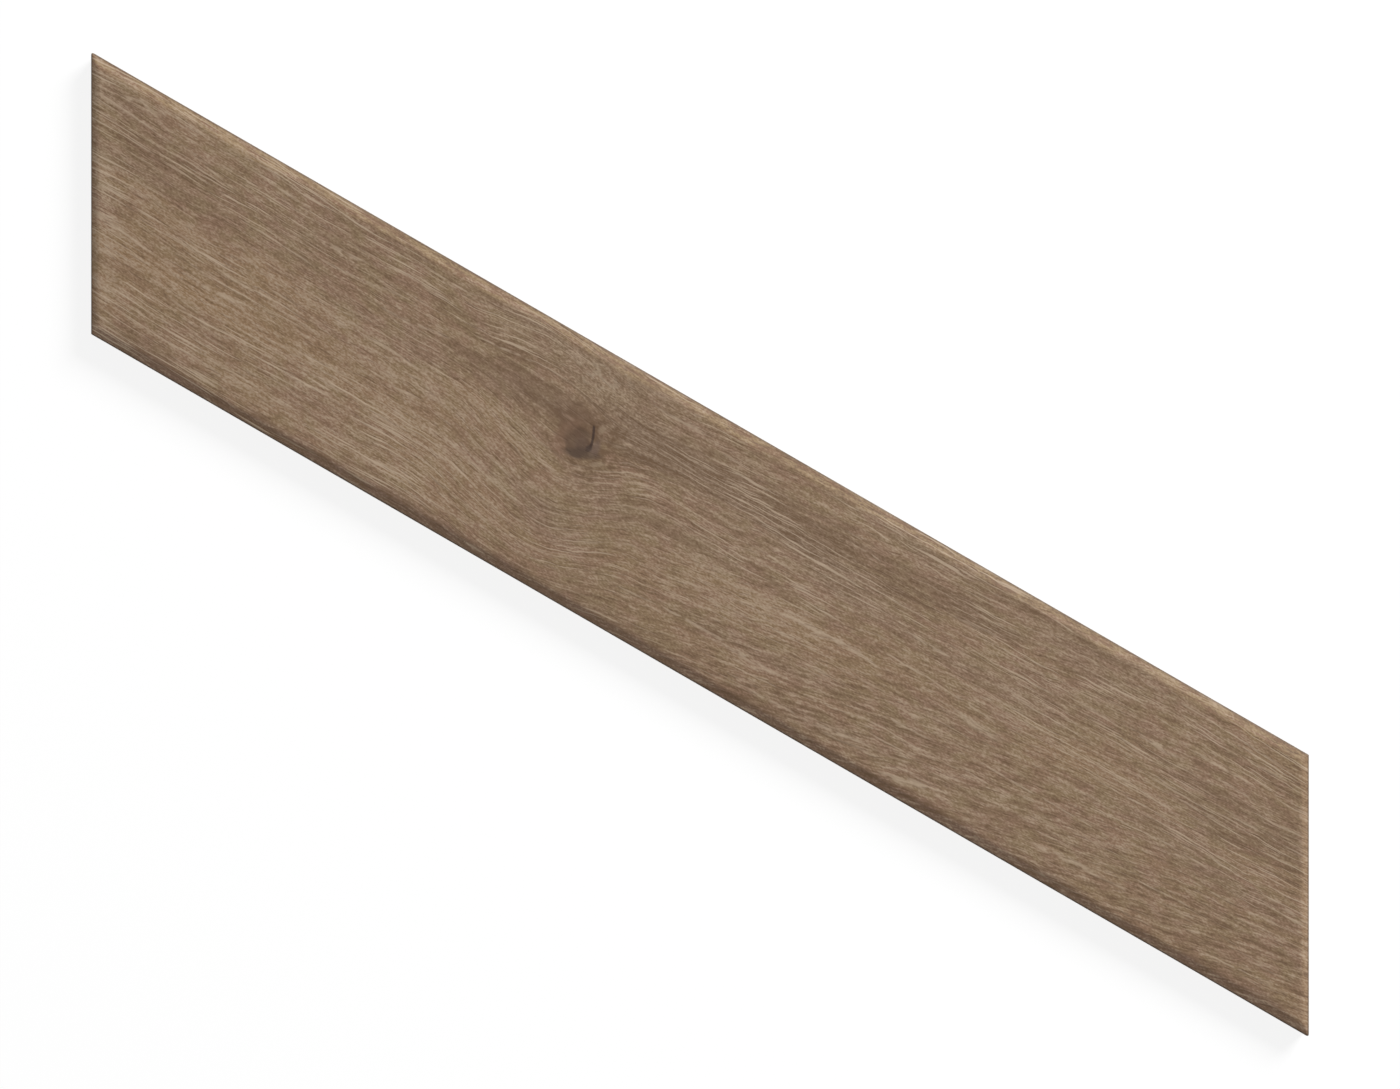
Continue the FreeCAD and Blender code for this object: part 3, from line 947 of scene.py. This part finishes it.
def streak_light(nodes, fields, knot):
    """How much lighter or darker the streaks are than the ground, in colour levels."""
    round_knot = nodes.math("MAXIMUM", knot["burr"], knot["collar"])
    calm = nodes.invert(nodes.multiply(round_knot, CALM_ROUND_KNOT))
    strength = nodes.add(calm, nodes.multiply(knot["fan"], FAN_GAIN))
    return nodes.add(
        nodes.multiply(signed_sum(nodes, fields, STREAK_LEVELS), strength),
        nodes.multiply(nodes.signed(fields["feather"], FEATHER_LEVEL), fields["feather_place"]),
        signed_sum(nodes, fields, SPECKLE_LEVELS),
        nodes.multiply(nodes.signed(fields["mottle"], BURR_LEVEL), round_knot),
        nodes.multiply(nodes.signed(fields["grit"], BURR_GRIT_LEVEL), knot["burr"]),
    )


def cream_left(nodes, fields, knot):
    """How much of the cream streaks and threads is left near the knot."""
    reach = oval_reach(nodes, *from_knot(nodes, fields["x"], fields["y"]), LESS_CREAM)
    near_knot = nodes.ease(reach, LESS_CREAM.outer, LESS_CREAM.inner, 0.0, LESS_CREAM_SHARE)
    on_collar = nodes.multiply(knot["collar"], COLLAR_CREAM_LOSS)
    return nodes.multiply(nodes.invert(on_collar), nodes.invert(near_knot))


def lay_over(nodes, printed, masks, layers):
    """The print with plain colours laid over it, each where its mask is."""
    for name, strength, tone in layers:
        printed = nodes.mix(nodes.multiply(masks[name], strength), printed, tone)
    return printed


def knot_colour(nodes, fields, knot, printed):
    """The print with the knot and what lies round it laid over it."""
    printed = lay_over(nodes, printed, knot, LAYERS_ROUND_HEART)
    heart = nodes.mix(nodes.ease(fields["mottle"], *HEART_MOTTLE), HEART_DARK, HEART_PALE)
    printed = nodes.mix(nodes.multiply(knot["heart"], HEART_SHARE), printed, heart)
    return lay_over(nodes, printed, knot, LAYERS_ON_HEART)


def print_colour(nodes, fields, knot, edges):
    """The printed oak: a brown ground, lighter and darker streaks, cream threads, pores and knot, with
    painted highlight and shade at the edges.
    """
    tone = broad_tone(nodes, fields)
    # The bevels get a painted highlight at the far edge and the right end and painted shade at the near edge
    printed = bevel_print_and_painted_light(nodes, fields, edges, ground_colour(nodes, fields, tone))
    light = nodes.add(
        streak_light(nodes, fields, knot),
        tone,
        # Painted light and shade in rims just inside the edges
        painted_rim_light_and_shade(nodes, edges),
        nodes.multiply(knot["collar"], COLLAR_LEVEL),
        nodes.multiply(knot["fan"], FAN_LEVEL),
    )
    printed = nodes.mix(nodes.ramp(light, FULL_STREAK), printed, PALE_STREAK)
    printed = nodes.mix(nodes.ramp(light, -FULL_STREAK), printed, DARK_STREAK)

    clear = cream_left(nodes, fields, knot)
    printed = nodes.mix(nodes.multiply(fields["cream"], clear, CREAM_SHARE), printed, CREAM_COLOUR)
    printed = nodes.mix(nodes.multiply(fields["threads"], clear, THREAD_SHARE), printed, CREAM_COLOUR)
    printed = nodes.mix(nodes.multiply(fields["pores"], PORE_SHARE), printed, PORE_COLOUR)
    printed = knot_colour(nodes, fields, knot, printed)
    # Painted shade: a dark line along the lip all round the face
    lip = nodes.ease(nearest_edge(nodes, edges), *LIP_SHADE_BAND)
    return nodes.mix(lip, printed, LIP_PAINTED_SHADE)


def new_material(name):
    """A material with a Principled shader: its nodes, its shader and the point in the tile's frame."""
    material = bpy.data.materials.new(name)
    material.use_nodes = True
    tree = material.node_tree
    shader = tree.nodes["Principled BSDF"]
    shader.inputs["Specular IOR Level"].default_value = SPECULAR_LEVEL
    place = tree.nodes.new("ShaderNodeTexCoord")
    return material, Nodes(tree), shader, place.outputs["Object"]


def add_bump(nodes, shader, height, distance):
    """Fine relief in the shading: height from 0 to 1, distance in metres."""
    bump = nodes.tree.nodes.new("ShaderNodeBump")
    bump.inputs["Strength"].default_value = 1.0
    bump.inputs["Distance"].default_value = distance
    nodes.feed(bump.inputs["Height"], height)
    nodes.feed(shader.inputs["Normal"], bump.outputs[0])


def printed_face_material():
    """The matt glaze with its printed oak, whose finest strokes and pores are in the shading alone."""
    material, nodes, shader, position = new_material("matt_oak_print")
    fields = grain_fields(nodes, position)
    edges = edge_distances(nodes, fields["x"], fields["y"])
    knot = knot_fields(nodes, fields)
    matt = nodes.add(
        PRINT_ROUGHNESS,
        nodes.multiply(fields["mottle"], MOTTLE_ROUGHNESS),
        nodes.multiply(fields["pores"], PORE_ROUGHNESS),
    )
    height = nodes.subtract(fields["strokes"], nodes.multiply(fields["pores"], PORE_BUMP_SHARE))
    nodes.feed(shader.inputs["Base Color"], print_colour(nodes, fields, knot, edges))
    nodes.feed(shader.inputs["Roughness"], matt)
    add_bump(nodes, shader, height, PRINT_BUMP)
    return material


def porcelain_body_material():
    """The bare fired body of the walls and the back, with a wash on the ribs and overspray at the top."""
    material, nodes, shader, position = new_material("bare_porcelain_body")
    x, y, z = nodes.parts(nodes.scaled(position, 1 / MM))
    along = nodes.add(x, nodes.multiply(y, DRAG_Y_FACTOR))
    speck = nodes.noise(nodes.scaled(position, SPECKS_IN_A_METRE), *SPECK_NOISE)
    cloud = nodes.noise(nodes.scaled(position, CLOUDS_IN_A_METRE), *CLOUD_NOISE)
    drag = nodes.grain(along, z, DRAG_LINES)
    wash = nodes.multiply(nodes.ease(z, *WASH_HEIGHT), nodes.ease(cloud, *WASH_RUN))
    drip = nodes.add(nodes.wave(along, z, WIDE_DRIP), nodes.wave(along, z, FINE_DRIP))
    overspray = nodes.ease(nodes.add(z, drip), *OVERSPRAY_RUN)
    body = nodes.mix(nodes.ease(cloud, *CLOUD_RUN), BODY_DARK, BODY_PALE)
    body = nodes.mix(nodes.ease(drag, *DRAG_RUN), body, DRAG_COLOUR)
    body = nodes.mix(nodes.ease(speck, *SPECK_RUN), body, SPECK_COLOUR)
    body = nodes.mix(wash, body, WASH_COLOUR)
    body = nodes.mix(overspray, body, OVERSPRAY_COLOUR)
    nodes.feed(shader.inputs["Base Color"], body)
    nodes.feed(shader.inputs["Roughness"], nodes.add(BODY_ROUGHNESS, nodes.multiply(speck, SPECK_ROUGHNESS)))
    add_bump(nodes, shader, nodes.add(speck, cloud, nodes.multiply(drag, DRAG_BUMP_SHARE)), BODY_BUMP)
    return material


# Relief

def relief_tree():
    """Geometry Nodes that lower the face by the grain's relief."""
    tree = bpy.data.node_groups.new("pressed_grain", "GeometryNodeTree")
    tree.interface.new_socket("Geometry", in_out="INPUT", socket_type="NodeSocketGeometry")
    tree.interface.new_socket("Geometry", in_out="OUTPUT", socket_type="NodeSocketGeometry")
    nodes = Nodes(tree)
    position = tree.nodes.new("GeometryNodeInputPosition").outputs[0]
    fields = grain_fields(nodes, position)
    edges = edge_distances(nodes, fields["x"], fields["y"])
    depth = relief_field(nodes, fields, knot_fields(nodes, fields), edges)
    on_face = nodes.ease(fields["z"], *RELIEF_BOTTOM)
    shift = tree.nodes.new("GeometryNodeSetPosition")
    lowered = nodes.multiply(depth, on_face, -MM)
    nodes.feed(shift.inputs["Offset"], nodes.point(0.0, 0.0, lowered))
    start = tree.nodes.new("NodeGroupInput")
    end = tree.nodes.new("NodeGroupOutput")
    tree.links.new(start.outputs[0], shift.inputs["Geometry"])
    tree.links.new(shift.outputs[0], end.inputs[0])
    return tree


def press_grain(tile):
    """Puts the relief into the mesh itself."""
    modifier = tile.modifiers.new("pressed_grain", "NODES")
    modifier.node_group = relief_tree()
    shaped = tile.evaluated_get(bpy.context.evaluated_depsgraph_get())
    mesh = bpy.data.meshes.new_from_object(shaped)
    tile.modifiers.clear()
    tile.data = mesh
    finish_normals(mesh)


# Stage, lights and camera

def only_direct_views(nodes):
    """1 for what the camera sees, directly or in a reflection, and 0 for light that a surface scatters."""
    path = nodes.tree.nodes.new("ShaderNodeLightPath")
    seen = nodes.math("MAXIMUM", path.outputs["Is Camera Ray"], path.outputs["Is Glossy Ray"])
    return nodes.math("MAXIMUM", seen, path.outputs["Is Transmission Ray"])


def mixed_shader(nodes, share, first, second):
    """A shader between first and second."""
    mixer = nodes.tree.nodes.new("ShaderNodeMixShader")
    nodes.feed(mixer.inputs[0], share)
    nodes.tree.links.new(first.outputs[0], mixer.inputs[1])
    nodes.tree.links.new(second.outputs[0], mixer.inputs[2])
    return mixer


def floor_material():
    """Pale, with a faint shadow, from above, and clear from below and to light from the tile's back."""
    material = bpy.data.materials.new("studio_floor")
    material.use_nodes = True
    tree = material.node_tree
    tree.nodes.clear()
    nodes = Nodes(tree)
    shadowed = tree.nodes.new("ShaderNodeBsdfDiffuse")
    shadowed.inputs["Color"].default_value = grey(FLOOR_SHADOW_GREY)
    glow = tree.nodes.new("ShaderNodeEmission")
    glow.inputs["Color"].default_value = grey(1.0)
    glow.inputs["Strength"].default_value = FLOOR_GLOW
    seen = tree.nodes.new("ShaderNodeAddShader")
    tree.links.new(shadowed.outputs[0], seen.inputs[0])
    tree.links.new(glow.outputs[0], seen.inputs[1])
    plain = tree.nodes.new("ShaderNodeBsdfDiffuse")
    plain.inputs["Color"].default_value = grey(FLOOR_WHITE)
    from_above = mixed_shader(nodes, only_direct_views(nodes), plain, seen)

    clear = tree.nodes.new("ShaderNodeBsdfTransparent")
    side = tree.nodes.new("ShaderNodeNewGeometry")
    path = tree.nodes.new("ShaderNodeLightPath")
    from_back = nodes.math("LESS_THAN", path.outputs["Ray Length"], FLOOR_REACH)
    passes = nodes.math("MAXIMUM", side.outputs["Backfacing"], from_back)
    floor = mixed_shader(nodes, passes, from_above, clear)
    output = tree.nodes.new("ShaderNodeOutputMaterial")
    tree.links.new(floor.outputs[0], output.inputs["Surface"])
    return material


def add_floor():
    """A wide pale floor that reads as white and takes a faint shadow.

    A view from below passes through it, and so does light for the tile's back, a short way above it.
    """
    mesh = bpy.data.meshes.new("studio_floor")
    half = FLOOR_HALF_SIDE
    low = -FLOOR_GAP
    corners = [(-half, -half, low), (half, -half, low), (half, half, low), (-half, half, low)]
    mesh.from_pydata(corners, [], [(0, 1, 2, 3)])
    mesh.materials.append(floor_material())
    floor = bpy.data.objects.new("studio_floor", mesh)
    bpy.context.scene.collection.objects.link(floor)
    floor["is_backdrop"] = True


def add_world():
    """Even light from all round, and a white backdrop for the camera."""
    world = bpy.data.worlds.new("studio")
    bpy.context.scene.world = world
    world.use_nodes = True
    nodes = Nodes(world.node_tree)
    background = world.node_tree.nodes["Background"]
    background.inputs["Color"].default_value = grey(1.0)
    level = nodes.add(WORLD_LIGHT, nodes.multiply(only_direct_views(nodes), 1.0 - WORLD_LIGHT))
    nodes.feed(background.inputs["Strength"], level)


def add_lamp(name, azimuth, elevation, light_on_face):
    """A soft square lamp that aims at the tile, from above or below. light_on_face is for a level face."""
    lamp = bpy.data.lights.new(name, "AREA")
    lamp.shape = "SQUARE"
    lamp.size = LAMP_SIZE
    spread = math.pi * LAMP_DISTANCE ** 2 / math.sin(abs(elevation))
    lamp.energy = light_on_face * math.pi * spread
    holder = bpy.data.objects.new(name, lamp)
    bpy.context.scene.collection.objects.link(holder)
    level = math.cos(elevation)
    towards = Vector((level * math.cos(azimuth), level * math.sin(azimuth), math.sin(elevation)))
    holder.location = towards * LAMP_DISTANCE
    holder.rotation_euler = towards.to_track_quat("Z", "Y").to_euler()


def add_camera():
    """A camera straight above the tile, turned as the photograph's picture is."""
    camera = bpy.data.cameras.new("camera")
    camera.lens = LENS
    camera.sensor_fit = "HORIZONTAL"
    camera.sensor_width = SENSOR_WIDTH
    camera.clip_end = FAR_CLIP
    frame_width = PHOTO_WIDTH / PIXELS_PER_MILLIMETRE * MM
    holder = bpy.data.objects.new("camera", camera)
    bpy.context.scene.collection.objects.link(holder)
    holder.location = (0.0, 0.0, THICKNESS * MM + frame_width * LENS / SENSOR_WIDTH)
    holder.rotation_euler = (0.0, 0.0, ROLL)
    bpy.context.scene.camera = holder


def write_sizes(visual_box):
    def plain(box):
        return [[float(value) for value in corner] for corner in box]


def main():
    """Builds the tile's look and its studio round the frame."""
    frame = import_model()
    node = frame["nodes"]["chevron_tile"]

    tile = bpy.data.objects.new("wood_grain_tile", tile_mesh(node))
    bpy.context.scene.collection.objects.link(tile)
    press_grain(tile)
    tile.data.materials.append(printed_face_material())
    tile.data.materials.append(porcelain_body_material())
    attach(tile, "root")
    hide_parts("chevron_tile")

    add_floor()
    add_world()
    add_lamp("key_lamp", KEY_AZIMUTH, KEY_ELEVATION, KEY_LIGHT)
    add_lamp("back_lamp", BACK_AZIMUTH, BACK_ELEVATION, BACK_LIGHT)
    add_camera()
    bpy.context.scene.view_settings.view_transform = "Standard"
    write_sizes(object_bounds())


main()
